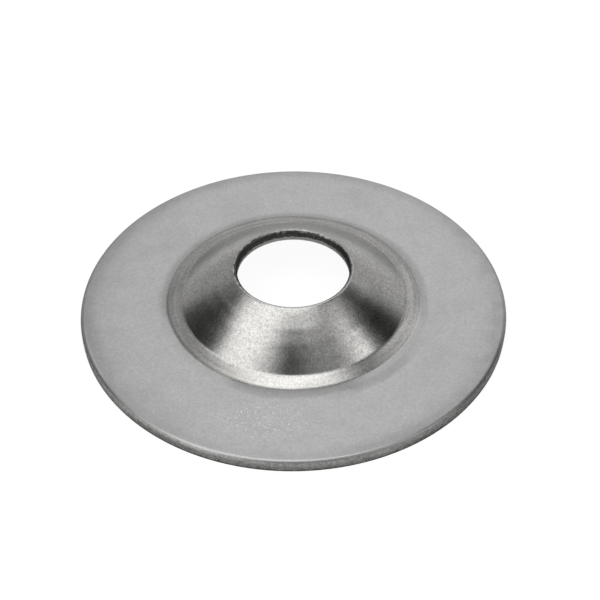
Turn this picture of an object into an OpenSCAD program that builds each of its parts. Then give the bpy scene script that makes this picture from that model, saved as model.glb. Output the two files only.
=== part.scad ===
// A dished flange washer, pressed from one piece of sheet steel.
// A wide flat flange carries a raised hollow cone, with a narrow ledge at the cone's foot
// and a punched hole at its top. The flange lies on the XY plane and Z is the washer's axis.
// All sizes are in millimetres and all angles in degrees.

/* [Disc] */
// Outside diameter of the flange
outer_d = 50; // [44:0.5:80]
// Thickness of the sheet
sheet_t = 1.5; // [1:0.1:2]

/* [Raised centre] */
// Overall height, from the underside of the flange to the top of the lip round the hole
height = 6.2; // [5.5:0.1:8]
// Diameter of the crease where the ledge leaves the flange
foot_d = 29.8; // [26:0.2:34]
// Radial width of the band round that crease where the flange already rises a little
lead_w = 1; // [0.6:0.1:1.4]
// Slope of that band
lead_angle = 3.5; // [1:0.5:5]
// Inside radius of the gentle bend where the band begins, on the upper face
lead_r = 4; // [2:0.5:6]
// Radial width of the ledge between the flange and the cone
ledge_w = 1.65; // [1:0.05:2.5]
// Slope of the ledge, rising towards the centre
ledge_angle = 12.5; // [6:0.5:18]
// Inside radius of the crease between the flange and the ledge, on the upper face
crease_r = 0.35; // [0.2:0.05:0.6]
// Inside radius of the bend between the ledge and the cone, on the upper face
root_r = 1; // [0.4:0.1:1.5]
// Crown of the cone: its wall is this much steeper at the foot and flatter at the top
crown_angle = 5; // [1:0.5:8]

/* [Hole] */
// Diameter of the punched hole
hole_d = 13; // [10:0.5:15]
// Thickness of the cone's wall at the hole, where the pressing has stretched the sheet
hole_wall_t = 1.45; // [0.8:0.05:2]
// Radius of the lip where the punch drew the upper edge of the hole inwards
lip_r = 0.4; // [0.1:0.05:0.5]

/* [Sheared edges] */
// Radial width of the band by the rim where the blanking die drew the upper face down
droop_w = 1.6; // [0.8:0.1:2.4]
// Depth of that droop at the rim
droop_h = 0.15; // [0.05:0.05:0.25]
// Radius of the drawn upper edge of the rim
rim_r = 0.5; // [0.1:0.05:0.6]
// Radius of the lower edges, where the sheet broke away
break_r = 0.08; // [0.04:0.01:0.15]

/* [Hidden] */
$fn = 128;
// Largest turn of an arc between two points of the outline
arc_step = 5;
// Share of the underside between crown and hole, and of the droop's width, that an arc takes up
crown_share = 0.9;
droop_share = 0.4;
outer_r = outer_d / 2;
hole_r = hole_d / 2;
foot_r = foot_d / 2;
foot_z = sheet_t + lead_w * tan(lead_angle);
ledge_r = foot_r - ledge_w;
ledge_z = foot_z + ledge_w * tan(ledge_angle);
// Slope of the cone from the ledge to the top of the lip, and of its upper half
cone_angle = atan2(height - ledge_z, ledge_r - hole_r - lip_r);
upper_angle = cone_angle - crown_angle;
// Where the upper half of the cone would meet the wall of the hole without its lip
hole_top_z = height + lip_r * (tan(upper_angle) + 1 / cos(upper_angle) - 1);
hole_base_z = hole_top_z - hole_wall_t / cos(upper_angle);
// The crown lies half way along the cone, where the wall is half way between its thicknesses
middle_t = (sheet_t + hole_wall_t) / 2;
crown_x = (ledge_r + hole_r) / 2;
crown_z = hole_top_z - (crown_x - hole_r) * tan(upper_angle);
lower_angle = atan2(crown_z - ledge_z, ledge_r - crown_x);
crown_turn = lower_angle - upper_angle;
// The underside has less room beside the crown, so the crown's arc is settled there
crown_under_x = crown_x - middle_t * sin(upper_angle + crown_turn / 2) / cos(crown_turn / 2);
crown_reach = crown_share * (crown_under_x - hole_r) / cos(upper_angle);
crown_r = crown_reach / tan(crown_turn / 2);
droop_angle = atan2(droop_h, droop_w);
droop_r = droop_share * droop_w / tan(droop_angle / 2);

// The heading of a line, and a corner's own place without its radius
function heading(line) = atan2(line[1], line[0]);
function place(corner) = [corner[0], corner[1]];

// A corner moved through the sheet, square to the middle of the two slopes that meet there
function underneath(corner, slope_out, slope_in, thickness, radius) =
    let (
        middle = (slope_out + slope_in) / 2,
        depth = thickness / cos((slope_in - slope_out) / 2)
    )
    [corner[0] - depth * sin(middle), corner[1] - depth * cos(middle), radius];

// The points that round corner b of the line a, b, c with an arc of radius r
function rounded(a, b, c, r) =
    let (
        start = heading(b - a),
        turn = (heading(c - b) - start + 540) % 360 - 180,
        steps = max(2, ceil(abs(turn) / arc_step)),
        reach = r * tan(abs(turn) / 2),
        centre = b - reach * [cos(start), sin(start)] + sign(turn) * r * [-sin(start), cos(start)]
    )
    [
        for (i = [0:steps])
            let (h = start + turn * i / steps)
            centre + sign(turn) * r * [sin(h), -cos(h)]
    ];

// The corners of half the section, each with its distance from the axis, height and radius
lead = [foot_r + lead_w, sheet_t, lead_r];
foot = [foot_r, foot_z, crease_r];
ledge = [ledge_r, ledge_z, root_r];
crown = [crown_x, crown_z, crown_r];
upper_face = [
    [outer_r, sheet_t - droop_h, rim_r],
    [outer_r - droop_w, sheet_t, droop_r],
    lead,
    foot,
    ledge,
    crown,
    [hole_r, hole_top_z, lip_r]
];
lower_face = [
    [hole_r, hole_base_z, break_r],
    underneath(crown, lower_angle, upper_angle, middle_t, crown_r - middle_t),
    underneath(ledge, ledge_angle, lower_angle, sheet_t, root_r + sheet_t),
    underneath(foot, lead_angle, ledge_angle, sheet_t, crease_r + sheet_t),
    underneath(lead, 0, lead_angle, sheet_t, lead_r + sheet_t),
    [outer_r, 0, break_r]
];
corners = concat(upper_face, lower_face);

// Half of the washer's section, with every corner rounded
module half_section() {
    last = len(corners) - 1;
    polygon([
        for (i = [0:last])
            let (
                before = place(corners[i == 0 ? last : i - 1]),
                here = place(corners[i]),
                after = place(corners[i == last ? 0 : i + 1])
            )
            each rounded(before, here, after, corners[i][2])
    ]);
}

// The whole washer, turned about its axis
module washer() {
    color("silver")
        rotate_extrude()
            half_section();
}

washer();
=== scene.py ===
# %% [markdown]
# # A pressed steel washer
# The object is one piece of sheet steel: a flat flange with a raised hollow cone in its middle
# and a hole at the cone's top. A press made it in one or two strokes, blanking the disc, drawing
# the cone and punching the hole. This notebook dresses the exact model of it for a photograph.
# The model gives the sizes and stays where it is. What is added here is a finer surface, the
# marks that shearing and drawing leave on steel, painted shade and highlights, a metal material,
# a table and the light.

import math

import bpy
import numpy as np
from mathutils import Matrix, Vector


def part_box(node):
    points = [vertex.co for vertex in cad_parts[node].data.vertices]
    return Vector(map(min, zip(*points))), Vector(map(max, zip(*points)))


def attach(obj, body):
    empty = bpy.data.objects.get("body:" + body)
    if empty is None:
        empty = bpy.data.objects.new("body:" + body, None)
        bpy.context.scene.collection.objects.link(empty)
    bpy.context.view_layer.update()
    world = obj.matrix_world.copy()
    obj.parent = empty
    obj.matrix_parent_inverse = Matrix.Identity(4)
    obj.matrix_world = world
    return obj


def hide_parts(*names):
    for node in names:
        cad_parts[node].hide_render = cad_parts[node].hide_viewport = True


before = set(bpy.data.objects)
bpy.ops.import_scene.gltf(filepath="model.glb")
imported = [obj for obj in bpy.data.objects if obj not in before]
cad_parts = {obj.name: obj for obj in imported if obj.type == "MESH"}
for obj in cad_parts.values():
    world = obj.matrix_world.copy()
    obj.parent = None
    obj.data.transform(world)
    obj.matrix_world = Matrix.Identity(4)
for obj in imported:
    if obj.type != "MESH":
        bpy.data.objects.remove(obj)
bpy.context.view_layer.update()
MM = 0.001
node_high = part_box("washer")[1]
outer_r = node_high[0] / MM
height = node_high[2] / MM
print(f"washer: {2 * outer_r:.1f} mm across, {height:.2f} mm high")

# %% [markdown]
# ## The section
# A body of revolution is settled by half of its section, so the section is drawn first, as a short
# list of corners. It could be traced as a dense list of points, but a press tool is not made that
# way: it has straight faces with a radius where they meet. So each corner keeps its own radius,
# and one function rounds them all. The sizes are the model's own, in millimetres.

# %% Sizes of the section
sheet_t = 1.5
foot_r = 14.9
lead_w = 1.0
lead_slope = math.radians(3.5)
lead_r = 4.0
ledge_w = 1.65
ledge_slope = math.radians(12.5)
crease_r = 0.35
root_r = 1.0
crown_slope = math.radians(5)
hole_r = 6.5
hole_wall_t = 1.45
lip_r = 0.4
droop_w = 1.6
droop_h = 0.15
rim_r = 0.5
break_r = 0.08
# Share of the underside between crown and hole, and of the droop's width, that an arc takes up
crown_share = 0.9
droop_share = 0.4

foot_z = sheet_t + lead_w * math.tan(lead_slope)
ledge_r = foot_r - ledge_w
ledge_z = foot_z + ledge_w * math.tan(ledge_slope)
upper_slope = math.atan2(height - ledge_z, ledge_r - hole_r - lip_r) - crown_slope
hole_top_z = height + lip_r * (math.tan(upper_slope) + 1 / math.cos(upper_slope) - 1)
hole_base_z = hole_top_z - hole_wall_t / math.cos(upper_slope)
crown_x = (ledge_r + hole_r) / 2
crown_z = hole_top_z - (crown_x - hole_r) * math.tan(upper_slope)
lower_slope = math.atan2(crown_z - ledge_z, ledge_r - crown_x)
middle_t = (sheet_t + hole_wall_t) / 2
crown_turn = lower_slope - upper_slope
crown_shift = math.sin(upper_slope + crown_turn / 2) / math.cos(crown_turn / 2)
crown_under_x = crown_x - middle_t * crown_shift
crown_reach = crown_share * (crown_under_x - hole_r) / math.cos(upper_slope)
crown_r = crown_reach / math.tan(crown_turn / 2)
droop_r = droop_share * droop_w / math.tan(math.atan2(droop_h, droop_w) / 2)
foot_degrees, top_degrees = math.degrees(lower_slope), math.degrees(upper_slope)
print(f"cone: {foot_degrees:.1f} degrees at the foot, {top_degrees:.1f} at the top")


# %% Corners and their radii
def underneath(corner, slope_out, slope_in, thickness, radius):
    """The corner moved through the sheet, square to the middle of the two slopes that meet there.

    The way through is the thickness over the cosine of half the change of slope."""
    middle = (slope_out + slope_in) / 2
    depth = thickness / math.cos((slope_in - slope_out) / 2)
    return corner[0] - depth * math.sin(middle), corner[1] - depth * math.cos(middle), radius


lead = (foot_r + lead_w, sheet_t, lead_r)
foot = (foot_r, foot_z, crease_r)
ledge = (ledge_r, ledge_z, root_r)
crown = (crown_x, crown_z, crown_r)
corners = np.array([
    (outer_r, sheet_t - droop_h, rim_r),
    (outer_r - droop_w, sheet_t, droop_r),
    lead,
    foot,
    ledge,
    crown,
    (hole_r, hole_top_z, lip_r),
    (hole_r, hole_base_z, break_r),
    underneath(crown, lower_slope, upper_slope, middle_t, crown_r - middle_t),
    underneath(ledge, ledge_slope, lower_slope, sheet_t, root_r + sheet_t),
    underneath(foot, lead_slope, ledge_slope, sheet_t, crease_r + sheet_t),
    underneath(lead, 0, lead_slope, sheet_t, lead_r + sheet_t),
    (outer_r, 0, break_r),
])
print(len(corners), "corners")


# %% Round the corners
arc_step = math.radians(4)
longest_run = 0.4


def rounded(before, corner, after):
    """The arc that rounds one corner, as points.

    It leaves both legs at radius * tan(turn / 2) from the corner. Its heading goes evenly from
    the first leg's to the second's, and each point is a radius from the centre, square to it."""
    here, radius = corner[:2], corner[2]
    leg_in, leg_out = here - before[:2], after[:2] - here
    start = math.atan2(leg_in[1], leg_in[0])
    turn = (math.atan2(leg_out[1], leg_out[0]) - start + math.pi) % math.tau - math.pi
    side = math.copysign(radius, turn)
    reach = radius * math.tan(abs(turn) / 2)
    centre = here - reach * np.array([math.cos(start), math.sin(start)])
    centre = centre + side * np.array([-math.sin(start), math.cos(start)])
    heading = start + turn * np.linspace(0, 1, max(3, math.ceil(abs(turn) / arc_step) + 1))
    return centre + side * np.stack([np.sin(heading), -np.cos(heading)], axis=1)


def split_runs(points, longest):
    """The closed outline with extra points, so that no run is longer than the given length."""
    runs = np.roll(points, -1, axis=0) - points
    pieces = np.ceil(np.hypot(runs[:, 0], runs[:, 1]) / longest).astype(int)
    first = np.repeat(np.arange(len(points)), pieces)
    share = np.arange(len(first)) - np.repeat(np.cumsum(pieces) - pieces, pieces)
    return points[first] + runs[first] * (share / pieces[first])[:, None]


neighbours = zip(np.roll(corners, 1, axis=0), corners, np.roll(corners, -1, axis=0))
arcs = [rounded(before, corner, after) for before, corner, after in neighbours]
outline = split_runs(np.concatenate(arcs), longest_run)
print(len(outline), "points round the section")

# %% [markdown]
# ## The pressed surface
# Turning the outline about the axis gives the washer, as a grid with one parameter along the
# outline and one round the axis. Blender's Screw modifier would do the same, but a grid of our
# own lets the edges be sheared as real ones are. A punch first cuts cleanly and leaves a bright
# band, and then the sheet tears and leaves a rough band that leans back from the edge.

# %% Ripples for the torn bands
segments = 432
angle = np.arange(segments) * math.tau / segments


def ripple(lowest, highest, seed):
    """A wavy line round the washer, between about -1 and 1.

    It is a sum of cosines of whole turns, each with its own phase, so it closes on itself."""
    random = np.random.default_rng(seed)
    waves = np.arange(lowest, highest)
    phase = random.uniform(0, math.tau, len(waves))
    size = random.normal(0, 1, len(waves))
    line = (size[:, None] * np.cos(waves[:, None] * angle + phase[:, None])).sum(axis=0)
    return line / np.abs(line).max()


def smooth(low, high, value):
    """0 below low, 1 above high and the curve 3 t^2 - 2 t^3 between them."""
    t = np.clip((value - low) / (high - low), 0, 1)
    return t * t * (3 - 2 * t)


print(segments, "segments, each", round(outer_r * math.tau / segments, 2), "mm long at the rim")

# %% Turn the outline about the axis
tear_depth = 0.035
tear_ripple = 0.012
# How far the border of a torn band waves, and how soon its ripple is full, as shares of the wall
tear_wave = 0.06
ripple_start = 0.2
# The least waves round the washer and one more than the most, of the band's border and ripple
border_waves = (3, 40)
ripple_waves = (20, 210)
# A point starts to count as on a cut wall this near to it, and counts fully this near
near_wall, on_wall = 0.05, 0.01
rim_torn_share, rim_seed = 0.5, 11
hole_torn_share, hole_seed = 0.35, 21


def torn(z, top, base, torn_share, seed):
    """How far a sheared wall stands back from its clean band, for each height and angle.

    Below a wavy line the wall leans back in proportion to its depth under that line, with a
    finer ripple on top, and above the line it doesn't move."""
    line = base + (top - base) * (torn_share + tear_wave * ripple(*border_waves, seed))
    depth = np.clip((line[None, :] - z[:, None]) / (top - base), 0, 1)
    rough = tear_ripple * ripple(*ripple_waves, seed + 1)[None, :] * smooth(0, ripple_start, depth)
    return tear_depth * depth + np.abs(rough)


def pressed_surface(points):
    """The grid of the washer: x = r cos(angle), y = r sin(angle), with the torn bands let in."""
    r, z = points[:, 0], points[:, 1]
    at_rim = smooth(outer_r - near_wall, outer_r - on_wall, r)[:, None]
    at_hole = smooth(hole_r + near_wall, hole_r + on_wall, r)[:, None]
    radius = r[:, None] - at_rim * torn(z, sheet_t - droop_h, 0, rim_torn_share, rim_seed)
    radius = radius + at_hole * torn(z, hole_top_z, hole_base_z, hole_torn_share, hole_seed)
    tall = np.broadcast_to(z[:, None], radius.shape)
    return np.stack([radius * np.cos(angle), radius * np.sin(angle), tall], axis=-1) * MM


grid = pressed_surface(outline)
rows, columns = grid.shape[:2]
print(rows, "by", columns, "points")


# %% Make the mesh
def closed_grid(name, points):
    """A mesh of quads over a grid that closes on itself both ways, with its faces outwards."""
    count = np.arange(rows * columns).reshape(rows, columns)
    down = np.roll(count, -1, axis=0)
    across = np.roll(count, -1, axis=1)
    quads = np.stack([count, across, np.roll(down, -1, axis=1), down], axis=-1).reshape(-1, 4)
    mesh = bpy.data.meshes.new(name)
    mesh.vertices.add(points.size // 3)
    mesh.vertices.foreach_set("co", points.astype(np.float32).ravel())
    mesh.loops.add(quads.size)
    mesh.loops.foreach_set("vertex_index", quads.astype(np.int32).ravel())
    mesh.polygons.add(len(quads))
    mesh.polygons.foreach_set("loop_start", np.arange(0, quads.size, 4, dtype=np.int32))
    mesh.polygons.foreach_set("use_smooth", np.ones(len(quads), dtype=bool))
    mesh.update(calc_edges=True)
    mesh.validate()
    piece = bpy.data.objects.new(name, mesh)
    bpy.context.scene.collection.objects.link(piece)
    return piece


washer = closed_grid("pressed_washer", grid)
print(len(washer.data.polygons) * 2, "triangles")

# %% [markdown]
# ## Writing shaders as sums
# A procedural material is a graph of small nodes. Wiring it by hand hides the maths, so one class
# wraps a socket and lets Python's own signs add the Math nodes, and one method adds any other node.


# %% A signal in a shader
class Signal:
    """One output of a node. Signs between signals and numbers add Math nodes to the same tree."""

    def __init__(self, tree, socket):
        self.tree = tree
        self.socket = socket

    def node(self, kind, settings=None, values=None, out=0):
        """Adds a node: its settings first, then the values or links of its sockets."""
        made = self.tree.nodes.new(kind)
        for name, value in (settings or {}).items():
            setattr(made, name, value)
        for key, value in (values or {}).items():
            if isinstance(value, Signal):
                self.tree.links.new(value.socket, made.inputs[key])
            else:
                made.inputs[key].default_value = value
        return Signal(self.tree, made.outputs[out])

    def math(self, operation, *values):
        """A Math node on these values, in this order."""
        return self.node("ShaderNodeMath", {"operation": operation}, dict(enumerate(values)))

    def __add__(self, other):
        return self.math("ADD", self, other)

    def __radd__(self, other):
        return self.math("ADD", other, self)

    def __sub__(self, other):
        return self.math("SUBTRACT", self, other)

    def __rsub__(self, other):
        return self.math("SUBTRACT", other, self)

    def __mul__(self, other):
        return self.math("MULTIPLY", self, other)

    def __rmul__(self, other):
        return self.math("MULTIPLY", other, self)

    def __truediv__(self, other):
        return self.math("DIVIDE", self, other)

    def __rtruediv__(self, other):
        return self.math("DIVIDE", other, self)

    def __pow__(self, other):
        """A power; a square is a plain product, which holds for numbers below 0 too."""
        return self * self if other == 2 else self.math("POWER", self, other)

    def __abs__(self):
        return self.math("ABSOLUTE", self)

    def step(self, low, high):
        """0 below low, 1 above high, and smooth between them; the other way round if low > high."""
        ends = {"Value": self, "From Min": min(low, high), "From Max": max(low, high)}
        rise = self.node("ShaderNodeMapRange", {"interpolation_type": "SMOOTHSTEP"}, ends)
        return rise if low < high else 1 - rise

    def noise(self, scale, detail=2.0):
        """Soft noise between 0 and 1 at this place; scale is in waves a unit."""
        values = {"Vector": self, "Scale": scale, "Detail": detail}
        return self.node("ShaderNodeTexNoise", {}, values, "Fac")

    def vector(self, operation, *values, out=0):
        """A Vector Math node on these values, in this order."""
        return self.node("ShaderNodeVectorMath", {"operation": operation}, dict(enumerate(values)), out)

    def mix(self, first, second):
        """The colour that goes from first to second as this signal goes from 0 to 1."""
        return self.node("ShaderNodeMix", {"data_type": "RGBA"}, {0: self, 6: first, 7: second}, 2)

    def other(self, out):
        """Another output of the same node."""
        return Signal(self.tree, self.socket.node.outputs[out])

    def parts(self):
        """The three coordinates of this vector, as three signals."""
        node = self.node("ShaderNodeSeparateXYZ", {}, {0: self})
        return [node.other(out) for out in range(3)]

    def least(self, other):
        """The smaller of this and another value."""
        return self.math("MINIMUM", self, other)

    def shade(self, output):
        """Gives this shader to the surface of an output node."""
        self.tree.links.new(self.socket, output.inputs["Surface"])


print("signals can add, multiply, step, mix and make noise")


# %% Start a material
def new_material(name):
    """An empty material, with a signal to start from, and its output node."""
    material = bpy.data.materials.new(name)
    material.use_nodes = True
    material.node_tree.nodes.clear()
    output = material.node_tree.nodes.new("ShaderNodeOutputMaterial")
    return material, Signal(material.node_tree, None), output


def grey(level):
    """An opaque grey of this linear level."""
    return level, level, level, 1.0


print("half grey is", grey(0.5))

# %% [markdown]
# ## Finding a place on the metal
# The washer is one piece of steel, so one material covers it, and masks say where each finish
# lies. An unwrapped picture could carry them, but the tools that pressed the washer are round, so
# nearly every mark follows from a point's distance to the axis, its height and the side it faces.


# %% Where a point lies
# Waves a millimetre of the three noises
fine_waves = 5.0
grain_waves = 2.2
cloud_waves = 0.45


class Place:
    """A point of the washer, with everything that the finishes ask about it.

    x, y, z and the distance r to the axis are in millimetres. Right and front are x / r and
    -y / r, so each goes from -1 to 1 round the washer. Fine, grain and cloud are soft noises of
    three sizes, shared by all finishes so that colour and bumps agree."""

    def __init__(self, start):
        metres = start.node("ShaderNodeTexCoord", out="Object")
        to_mm = {0: metres, "Scale": 1 / MM}
        self.point = start.node("ShaderNodeVectorMath", {"operation": "SCALE"}, to_mm)
        self.x, self.y, self.z = self.point.parts()
        self.r = (self.x ** 2 + self.y ** 2) ** 0.5
        self.right = self.x / self.r
        self.front = -1 * self.y / self.r
        self.fine = self.point.noise(fine_waves, 1.0)
        self.grain = self.point.noise(grain_waves, 1.0)
        self.cloud = self.point.noise(cloud_waves)


widths = [round(1 / waves, 2) for waves in (fine_waves, grain_waves, cloud_waves)]
print("the noises repeat about every", widths, "mm")

# %% [markdown]
# ## The sheet and the drawn middle
# The flange is the sheet as it left the mill, a dull satin. The middle was stretched over a punch,
# which planishes it, so it mirrors more clearly, and its grain opens up as the sheet thins, most
# of all on the cone. A metal shows nothing but reflections, so a finish is no more than how much
# it gives back, how much it blurs, and how its grain breaks both.

# %% What the sheet gives back and how much it blurs
sheet_level = 0.475
sheet_rough = 0.37
drawn_rough = 0.23


def drawn_middle(place):
    """Two masks by distance to the axis: all that the punch drew, and the cone within it."""
    drawn = place.r.step(foot_r + 0.35, foot_r - 0.15)
    cone = place.r.step(ledge_r + 0.5, ledge_r - 0.3)
    return drawn, cone


print("drawn inside", foot_r, "mm, cone inside", round(ledge_r, 2), "mm from the axis")


# %% The grain
# Where the streaks are read: direction counts this much, and distance this much a millimetre
streak_turn = 2.0
streak_reach = 2.2
# How strong each noise is on the flange, and what the drawn middle and the cone add to that
fine_shares = (0.36, 0.30, 0.26)
grain_shares = (0.15, 0.15, 0.16)
bump_shares = (0.3, 0.3, 0.4)
# What the drawn middle adds in streaks, and how much of that the cone takes off again
ledge_streaks, cone_streaks = 0.75, 0.55
cloud_share = 0.2


def by_zone(shares, drawn, cone):
    """A strength for each zone: the first share, plus the others times the masks of their zones."""
    return shares[0] + shares[1] * drawn + shares[2] * cone


def grain_share(place, drawn, cone):
    """How much the grain adds to what the steel gives back, as a share of it.

    It is the sum of the three noises, each less its mean of 0.5, and the two finer ones are
    stronger towards the cone. The ledge also has streaks that run round it, from a noise that is
    read at the point's direction and distance, so that it changes fast outwards and slowly round
    the axis."""
    read_at = {0: streak_turn * place.right, 1: -streak_turn * place.front, 2: streak_reach * place.r}
    round_the_axis = place.x.node("ShaderNodeCombineXYZ", {}, read_at)
    streaks = (round_the_axis.noise(1.0) - 0.5) * (ledge_streaks * drawn - cone_streaks * cone)
    fine = (place.fine - 0.5) * by_zone(fine_shares, drawn, cone)
    grain = (place.grain - 0.5) * by_zone(grain_shares, drawn, cone)
    return fine + grain + streaks + cloud_share * (place.cloud - 0.5)


def grain_height(place, drawn, cone):
    """The same noises as a height for the bumps, between 0 and about 1.4."""
    return (place.grain + 0.4 * place.fine) * by_zone(bump_shares, drawn, cone)


print("streaks are about", round(1 / streak_reach, 2), "mm wide")

# %% [markdown]
# ## The cut edges
# Where the press cut the sheet, the edge is rough and darker, and in and over the hole it is
# darkened further by painted shade, which also dulls the lip's glint. Straight masks would give it
# away as painted on, so grain pushes most of their borders to and fro. The hole has more to show
# than the rim: its painted shade reaches up over the lip, a tear low in its wall is lighter with a
# painted reflection of the table, and at the front the lip gets a painted highlight.

# %% The hole's edge
# The hole's edge is painted dark as shade, and the tear low in it painted lighter as a reflection of
# the table
hole_shade_level = 0.10
torn_reflection_level = 0.60
# The weaker painted shade on the whole lip, which dulls its glint, and the tear's upper border
# above the wall's lower edge
collar_shade_share = 0.35
tear_top = 0.58
tear_full = 0.36


def hole_edge(place):
    """Three masks: the painted shade on the sheared edge, the tear low in it, which gets a painted
    reflection, and the painted highlight on the front lip.

    The painted shade starts at lip_reach and is full lower down the lip, sooner at the sides than at
    the back, and a weaker collar of it, which dulls the lip's glint, covers the whole lip. In front,
    where the lip has its painted highlight, the painted shade only starts inside the lip."""
    ragged = 0.2 * (place.grain - 0.5)
    sideways = place.right ** 2
    # In front, a painted highlight stands on the lip instead of painted shade
    front_lip = (place.y + 0.1 * place.x + 3 * ragged).step(-0.72 * hole_r, -0.84 * hole_r)
    lip_reach = hole_r + lip_r * (0.6 + 0.35 * sideways - 0.12 * place.right)
    on_lip = ((lip_reach - place.r - 2.5 * ragged) / (0.8 - 0.3 * sideways)).step(0, lip_r)
    on_lip = (on_lip + collar_shade_share * place.r.step(hole_r + 1.5 * lip_r, hole_r + lip_r)).least(1.0)
    inside_lip = (place.r + 0.6 * ragged).step(hole_r + 0.55 * lip_r, hole_r + 0.30 * lip_r)
    shaded_hole_edge = on_lip * (1 - front_lip) + inside_lip * front_lip
    torn = shaded_hole_edge * (place.z + 2.5 * ragged).step(hole_base_z + tear_top, hole_base_z + tear_full)
    lip_highlight = front_lip * (place.r + ragged).step(hole_r + 1.2 * lip_r, hole_r + 0.9 * lip_r)
    return shaded_hole_edge, torn, lip_highlight


print("the hole's wall is", round(hole_top_z - hole_base_z, 2), "mm tall with its lip")

# %% The rim
rim_level = 0.34
rim_grain_share = 1.8


def rim_edge(place):
    """Three masks: the sheared rim, a dark line low on it, and a painted highlight high on it, on its
    clean cut.

    The painted highlight shows on the front half, and fades out at the right. In the middle it starts
    on the flat wall, at the left on the rolled edge, and at the far left higher still, over a wall
    that is darker all over."""
    rim = place.r.step(outer_r - 0.20, outer_r - 0.08)
    far_left = place.right.step(-0.80, -0.92) * place.front.step(0.0, 0.15)
    # A darker line low on the rim wall, and a darker wall at the far left
    foot_line = (place.z + 0.3 * (place.grain - 0.5)).step(0.36, 0.12)
    foot_line = rim * (foot_line + 0.6 * far_left).least(1.0)
    left = place.right.step(-0.1, -0.4)
    low, high = place.z.step(0.50, 0.95), place.z.step(0.80, 1.0)
    # A painted highlight on the clean cut high on the rim wall, and at the far left on the rolled edge
    clean_cut_highlight = 0.5 * low * (1 - left) + 0.5 * high * left
    clean_cut_highlight = clean_cut_highlight * place.r.step(outer_r - 0.30, outer_r - 0.15)
    clean_cut_highlight = clean_cut_highlight * place.front.step(0.0, 0.3) * place.right.step(0.75, 0.55) * (1 - far_left)
    rolled_edge_highlight = far_left * place.r.step(outer_r - 0.65, outer_r - 0.45) * place.z.step(0.9, 1.2)
    return rim, foot_line, clean_cut_highlight + (0.1 + 0.6 * place.front.step(0.1, 0.35)) * rolled_edge_highlight


def rim_grain(place, rim):
    """How much coarse grain adds on the rim, as a share: a sum of the noises, less its mean."""
    noises = 0.5 * place.grain + 0.6 * place.fine + 0.2 * place.cloud - 0.65
    return noises * (rim_grain_share * rim)


print("the rim's flat wall is", round(sheet_t - droop_h - rim_r - break_r, 2), "mm tall")

# %% [markdown]
# ## Dirt, handling and painted shade
# Painted shade, with some dirt, darkens the crease and a band outside it, painted shade darkens
# the flange's rolled edge, droop and left side, and washers rub on each other in their box. These
# marks are faint, but a flange without them looks like plastic. Each is a mask times the share of
# light that it takes, and the shares are added before they are applied once.


# %% Painted shade and dirt in the crease
# The share of light that the soft line and the band take, and what the band takes more in front
soft_line_loss = 0.24
band_loss = 0.24
front_band_loss = 0.13


def crease_shade_and_dirt(place):
    """The share of light taken by painted shade, with some dirt, in lines in the crease and a band
    outside it.

    A thin line goes all the way round, and a wide soft one lies over it at the left. The band fades
    in two steps over 0.75 mm, or over 1.4 mm at the front, and cloud shifts its outer border. The thin
    line and the band are left off on both sides of the front, and at the right the band also creeps
    inwards over the ledge."""
    near_front = place.front.step(0.6, 0.97)
    at_left = place.right.step(-0.25, -0.5) * place.front.step(-0.35, 0.2)
    clear_sides = (place.right ** 2).step(0.12, 0.3) * place.front.step(0.05, 0.35)
    at_right = place.right.step(0.5, 0.9)
    # A thin line of painted shade and dirt round the crease, and a soft one at the left
    thin_line = abs(place.r - foot_r).step(0.26, 0.06) * (0.02 + 0.10 * place.front ** 2)
    soft_line = abs(place.r + 0.3 * (place.grain - 0.5) - foot_r + 0.1).step(0.34, 0.10) * at_left
    wide = 0.75 + 0.65 * near_front + 0.35 * at_right + 1.2 * (place.cloud - 0.5)
    spread = (place.r - foot_r) / wide
    crisp = place.r.step(foot_r - 0.25, foot_r + 0.05)
    begin = crisp + (place.r.step(foot_r - 1.0, foot_r + 0.1) - crisp) * at_right
    band = (0.5 * spread.step(1.1, 0.7) + 0.5 * spread.step(0.8, 0.0)) * begin * (1 - 0.9 * clear_sides)
    dark_band = (band_loss + front_band_loss * near_front) * band
    return thin_line * (1 - clear_sides) + soft_line_loss * soft_line + dark_band


print("the dirt starts at the crease,", foot_r, "mm from the axis")


# %% Marks on the flange
# The share of light that each mark takes
scuff_loss = 0.18
# The rolled edge, the droop and the left side lose light to painted shade
rolled_shade_loss = 0.22
droop_shade_loss = 0.09
left_shade_loss = 0.10
blotch_loss = 0.05
stain_loss = 0.13


def handling_and_shade(place):
    """The share of light taken by marks and painted shade on the flange, each a mask by distance and
    by side.

    They are a scuff outside the crease at the right front, painted shade on the rolled edge on both
    sides of the front and on the droop at the front, painted shade on the left side, large faint
    blotches, and stains beside the rim at the right."""
    scuff = abs(place.r - foot_r - 1.3 + 0.5 * (place.cloud - 0.5)).step(0.9, 0.2)
    scuff = scuff * place.front.step(0.45, 0.7) * place.right.step(0.15, 0.5)
    rolled = place.r.step(outer_r - 0.6, outer_r - 0.25) * place.front.step(0.05, 0.4)
    rolled = rolled * place.front.step(0.94, 0.80) * (0.3 + 0.7 * place.right.step(-0.5, 0.3))
    droop = place.r.step(outer_r - 1.7, outer_r - 0.8) * place.front.step(0.5, 0.95)
    left = place.r.step(0.8 * outer_r, 0.98 * outer_r) * place.right.step(-0.3, -0.9)
    blotch = place.point.noise(0.17, 1.0).step(0.52, 0.72) * place.front.step(0.97, 0.6)
    stain = place.r.step(outer_r - 4.0, outer_r - 1.0) * place.right.step(0.6, 0.9)
    stain = stain * (place.cloud + 0.3 * place.grain).step(0.55, 0.75)
    marks = scuff_loss * scuff + rolled_shade_loss * rolled + droop_shade_loss * droop + left_shade_loss * left
    return marks + blotch_loss * blotch + stain_loss * stain


print("the strongest mark takes", max(scuff_loss, rolled_shade_loss, stain_loss), "of the light")

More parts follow.
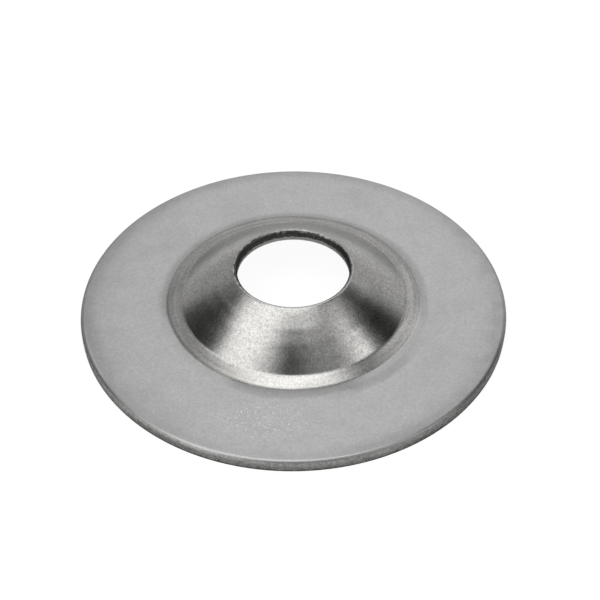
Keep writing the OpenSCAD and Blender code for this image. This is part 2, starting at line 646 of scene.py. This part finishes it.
# %% Bright marks
# The middle and the half axes of the oval of specks, and waves a millimetre of their noise
speck_x, speck_y = -3.2, -19.3
speck_wide, speck_deep = 6.0, 10 ** 0.5
speck_waves = 5.5


def speck_glints(place):
    """A mask of painted glints of nicks, in an oval on the front of the flange.

    The oval is the sum of two squares, each of a distance over its half axis, and the nicks are
    the peaks of a noise."""
    oval = (place.x - speck_x) ** 2 / speck_wide ** 2 + (place.y - speck_y) ** 2 / speck_deep ** 2
    return oval.step(1.1, 0.3) * place.point.noise(speck_waves, 0.0).step(0.67, 0.75)


def ledge_highlight(place):
    """A mask of the ledge at the right front, which a painted highlight makes a little brighter."""
    ledge = place.r.step(foot_r + 0.2, foot_r - 0.05) * place.r.step(ledge_r - 0.1, ledge_r + 0.3)
    return ledge * place.right.step(0.55, 0.8) * place.front.step(0.1, 0.4)


print("specks lie", round(math.hypot(speck_x, speck_y), 1), "mm from the axis")

# %% [markdown]
# ## The steel put together
# Now the finishes are laid over each other: the sheet, the cut edges with their painted shade and
# reflection, the ledge's painted highlight, the grain, the dirt and painted shade, and last the
# nicks' painted glints and the painted highlights on the lip and the rim. The flat sheet is a neutral
# grey, and what was drawn or cut is a trace warmer. The bumps are only a few thousandths of a
# millimetre deep, and they go through a Bump node, since no mesh is that fine.

# %% The steel
cut_rough = 0.42
rough_change = 0.06
bump_depth = 0.003
# What the foot line takes from the level, and what the painted highlights and glints add to it
foot_line_loss = 0.22
ledge_highlight_gain = 0.13
speck_glint_gain = 0.24
lip_highlight_gain = 0.12
clean_cut_highlight_gain = 0.2
flat_tint = (1.0, 1.0, 1.0, 1.0)
drawn_tint = (1.01, 1.0, 0.97, 1.0)


def steel_material():
    """Pressed steel: base colour, roughness and bumps from the place on the washer."""
    material, start, output = new_material("pressed_steel")
    place = Place(start)
    drawn, cone = drawn_middle(place)
    rim, foot_line, clean_cut_highlight = rim_edge(place)
    shaded_hole_edge, torn, lip_highlight = hole_edge(place)
    cut = rim + shaded_hole_edge

    # The cut edges: the hole's edge painted dark as shade, and its tear painted lighter as a reflection
    level = sheet_level + (rim_level - sheet_level) * rim + (hole_shade_level - sheet_level) * shaded_hole_edge
    level = level + (torn_reflection_level - hole_shade_level) * torn - foot_line_loss * foot_line
    # A painted highlight on the ledge at the right front
    level = level * (1 + ledge_highlight_gain * ledge_highlight(place))
    level = level * (1 + grain_share(place, drawn, cone) + rim_grain(place, rim))
    # Painted shade with some dirt in the crease, and marks and painted shade on the flange
    level = level * (1 - crease_shade_and_dirt(place) - handling_and_shade(place))
    # Painted glints on the specks and a painted highlight on the front lip
    level = level + speck_glint_gain * speck_glints(place) + lip_highlight_gain * lip_highlight
    # A painted highlight on the rim's clean cut
    level = level + clean_cut_highlight_gain * clean_cut_highlight
    tint = (drawn + cut).least(1.0).mix(flat_tint, drawn_tint)
    colour = start.node("ShaderNodeVectorMath", {"operation": "SCALE"}, {0: tint, "Scale": level})

    rough = sheet_rough + (drawn_rough - sheet_rough) * drawn + rough_change * (place.cloud - 0.5)
    rough = rough * (1 - cut) + cut_rough * cut
    bumps = grain_height(place, drawn, cone)
    bump = start.node("ShaderNodeBump", {}, {"Distance": bump_depth * MM, "Height": bumps})
    values = {"Base Color": colour, "Metallic": 1.0, "Roughness": rough, "Normal": bump}
    start.node("ShaderNodeBsdfPrincipled", {}, values).shade(output)
    return material


steel = steel_material()
washer.data.materials.append(steel)
print("material:", steel.name, "of", len(steel.node_tree.nodes), "nodes")

# %% [markdown]
# ## The table
# A washer in a parts list stands on pure white. Turning up the light until a table is white would
# wash out the steel, so the table sends some white of its own to the camera and to mirror-like
# rays, and the rest of its white is the tent's light on it, which keeps the washer's soft shadow.

# %% The table
table_half = 1.5
table_drop = 0.02 * MM
own_white = 0.95
lit_white = 0.10
cloth_white = 0.8
# Mirror-like rays start to see that white this many radii away, and see all of it at this many
white_from, white_full = 4, 8


def table_material():
    """White emission for camera and glossy rays, plus a weak share of the lit surface."""
    material, start, output = new_material("white_table")
    path = start.node("ShaderNodeLightPath", out="Is Camera Ray")
    glossy, through = path.other("Is Glossy Ray"), path.other("Is Transmission Ray")
    place = start.node("ShaderNodeTexCoord", out="Object")
    radii = start.vector("LENGTH", place, out="Value") / (outer_r * MM)
    away = radii.step(white_from, white_full)
    seen = (path + (glossy + through) * away).least(1.0)
    lit = start.node("ShaderNodeBsdfDiffuse", {}, {"Color": grey(cloth_white)})
    dim = start.node("ShaderNodeBsdfDiffuse", {}, {"Color": grey(lit_white)})
    own = start.node("ShaderNodeEmission", {}, {"Color": grey(1.0), "Strength": own_white})
    shown = start.node("ShaderNodeAddShader", {}, {0: own, 1: dim})
    start.node("ShaderNodeMixShader", {}, {0: seen, 1: lit, 2: shown}).shade(output)
    return material


table_mesh = bpy.data.meshes.new("table")
turns = ((-1, -1), (1, -1), (1, 1), (-1, 1))
edge = [(x * table_half, y * table_half, -table_drop) for x, y in turns]
table_mesh.from_pydata(edge, [], [(0, 1, 2, 3)])
table_mesh.materials.append(table_material())
table = bpy.data.objects.new("table", table_mesh)
bpy.context.scene.collection.objects.link(table)
print("table:", 2 * table_half, "m square")

# %% [markdown]
# ## The light
# Metal has no colour without something to mirror, so the light is a tent of cloth with soft boxes
# behind it. Lamps could stand for the boxes, but the cone mirrors their edges too, and cloth has
# no sharp edges. So the whole tent is the world: a plain level, with bright boxes and dark gaps
# laid over it as soft rectangles of sky. The flange mirrors the box at the back, the ledge the
# box overhead, and the cone, which faces every way, the side boxes and the gaps between them.

# %% Directions in the tent
def aim(azimuth, elevation):
    """The unit vector to this azimuth, from +X towards +Y, and elevation, both in degrees."""
    a, e = math.radians(azimuth), math.radians(elevation)
    return Vector((math.cos(a) * math.cos(e), math.sin(a) * math.cos(e), math.sin(e)))


def panel(way, azimuth, elevation, wide, tall, soft):
    """1 inside a rectangle of sky and 0 outside it, in degrees, with an edge of the given softness.

    The angles to either side of its middle and above or below it each pass a smooth step."""
    middle = aim(azimuth, elevation)
    across = aim(azimuth + 90, 0)
    inside = 1.0
    for axis, half in ((across, wide / 2), (middle.cross(across), tall / 2)):
        ahead = way.vector("DOT_PRODUCT", way, tuple(middle), out="Value")
        beside = way.vector("DOT_PRODUCT", way, tuple(axis), out="Value")
        off = way.math("ARCTAN2", abs(beside), ahead)
        inside = inside * off.step(math.radians(half + soft / 2), math.radians(half - soft / 2))
    return inside


print("straight above the washer is", tuple(round(part, 3) for part in aim(0, 90)))

# %% The tent
# Each panel: azimuth and elevation of its middle, width, height and softness in degrees, level
tent_panels = {
    # The flange mirrors the box at the back, and the front of the ledge the one overhead
    "back_box": (85, 55, 35, 50, 30, 1.3),
    "top_box": (90, 80, 25, 20, 5, 4.0),
    # The two bright sides of the cone
    "left_box": (200, 70, 40, 70, 25, 1.8),
    "right_box": (360, 40, 30, 20, 25, 2.6),
    # The dark patches on either side of them, and the darker middle between them
    "left_gap": (170, 10, 55, 50, 20, 0.05),
    "right_gap": (10, 30, 35, 45, 15, 0.0),
    "front_gap": (265, 55, 20, 35, 20, 0.0),
    # The rings of shade round the back of the ledge, and the sides of the cone's back
    "back_gap": (75, 65, 80, 7, 5, 0.2),
    "right_back_gap": (30, 65, 55, 10, 10, 0.0),
    "left_side_gap": (170, 35, 25, 20, 5, 0.0),
    "left_back_box": (125, 10, 35, 45, 10, 0.45),
    # The low strip that the rolled edge of the rim mirrors at the left front
    "front_strip": (220, 10, 60, 20, 15, 1.5),
    # The fill that the bend at the right of the ledge mirrors
    "right_fill": (50, 30, 30, 10, 10, 0.75),
    # The bright streak down the right of the cone, broad and soft above, narrow at its foot
    "right_glow": (350, 55, 8, 10, 25, 2.2),
    "right_core": (350, 40, 8, 10, 10, 2.5),
}
# The plain level at the horizon and overhead, and the sines of the heights where it changes
low_level, low_sine = 0.65, 0.09
tent_level, tent_sine = 0.35, 0.5


def tent():
    """The world: white to the camera, and to everything else a tent with its boxes and gaps."""
    world = bpy.data.worlds.new("tent")
    bpy.context.scene.world = world
    world.use_nodes = True
    world.node_tree.nodes.clear()
    output = world.node_tree.nodes.new("ShaderNodeOutputWorld")
    start = Signal(world.node_tree, None)
    way = start.node("ShaderNodeTexCoord", out="Generated")
    up = way.parts()[2]
    level = low_level + (tent_level - low_level) * up.step(low_sine, tent_sine)
    for azimuth, elevation, wide, tall, soft, panel_level in tent_panels.values():
        inside = panel(way, azimuth, elevation, wide, tall, soft)
        level = level + (panel_level - level) * inside
    camera_ray = start.node("ShaderNodeLightPath", out="Is Camera Ray")
    cloth = start.node("ShaderNodeBackground", {}, {"Color": grey(1.0), "Strength": level})
    white = start.node("ShaderNodeBackground", {}, {"Color": grey(1.0), "Strength": 1.0})
    start.node("ShaderNodeMixShader", {}, {0: camera_ray, 1: cloth, 2: white}).shade(output)


tent()
print("tent:", ", ".join(tent_panels))

# %% [markdown]
# ## The camera
# The photograph looks down at about 43 degrees from only five or six radii away, which is why the
# front of the flange looks wider than the back. The camera aims a little to the right of the
# washer and above it, and leans by half a degree.

# %% The camera
view_elevation = math.radians(43.40)
view_reach = 141.25 * MM
view_lean = math.radians(0.52)
aim_right = 0.773 * MM
aim_up = 0.709 * MM
lens_mm = 71.2
sensor_mm = 36.0
clip_start = 5 * MM


def photograph_camera():
    """A camera on a sphere round the washer, turned to its aim and then leant about its own axis."""
    data = bpy.data.cameras.new("camera")
    data.sensor_width = sensor_mm
    data.lens = lens_mm
    data.clip_start = clip_start
    camera = bpy.data.objects.new("camera", data)
    bpy.context.scene.collection.objects.link(camera)
    back = Vector((0, -math.cos(view_elevation), math.sin(view_elevation)))
    right = Vector((1, 0, 0))
    up = back.cross(right)
    place = back * view_reach
    back = (place - right * aim_right - up * aim_up).normalized()
    right = up.cross(back).normalized()
    up = back.cross(right)
    turned = Matrix((right, up, back)).transposed()
    turned = turned @ Matrix.Rotation(-view_lean, 3, "Z")
    camera.matrix_world = Matrix.Translation(place) @ turned.to_4x4()
    bpy.context.scene.camera = camera
    return camera


camera = photograph_camera()
print("camera lens", round(camera.data.lens, 1), "mm")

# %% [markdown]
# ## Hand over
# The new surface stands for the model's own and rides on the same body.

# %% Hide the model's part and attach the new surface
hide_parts("washer")
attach(washer, "root")
bpy.context.scene.view_settings.view_transform = "Standard"
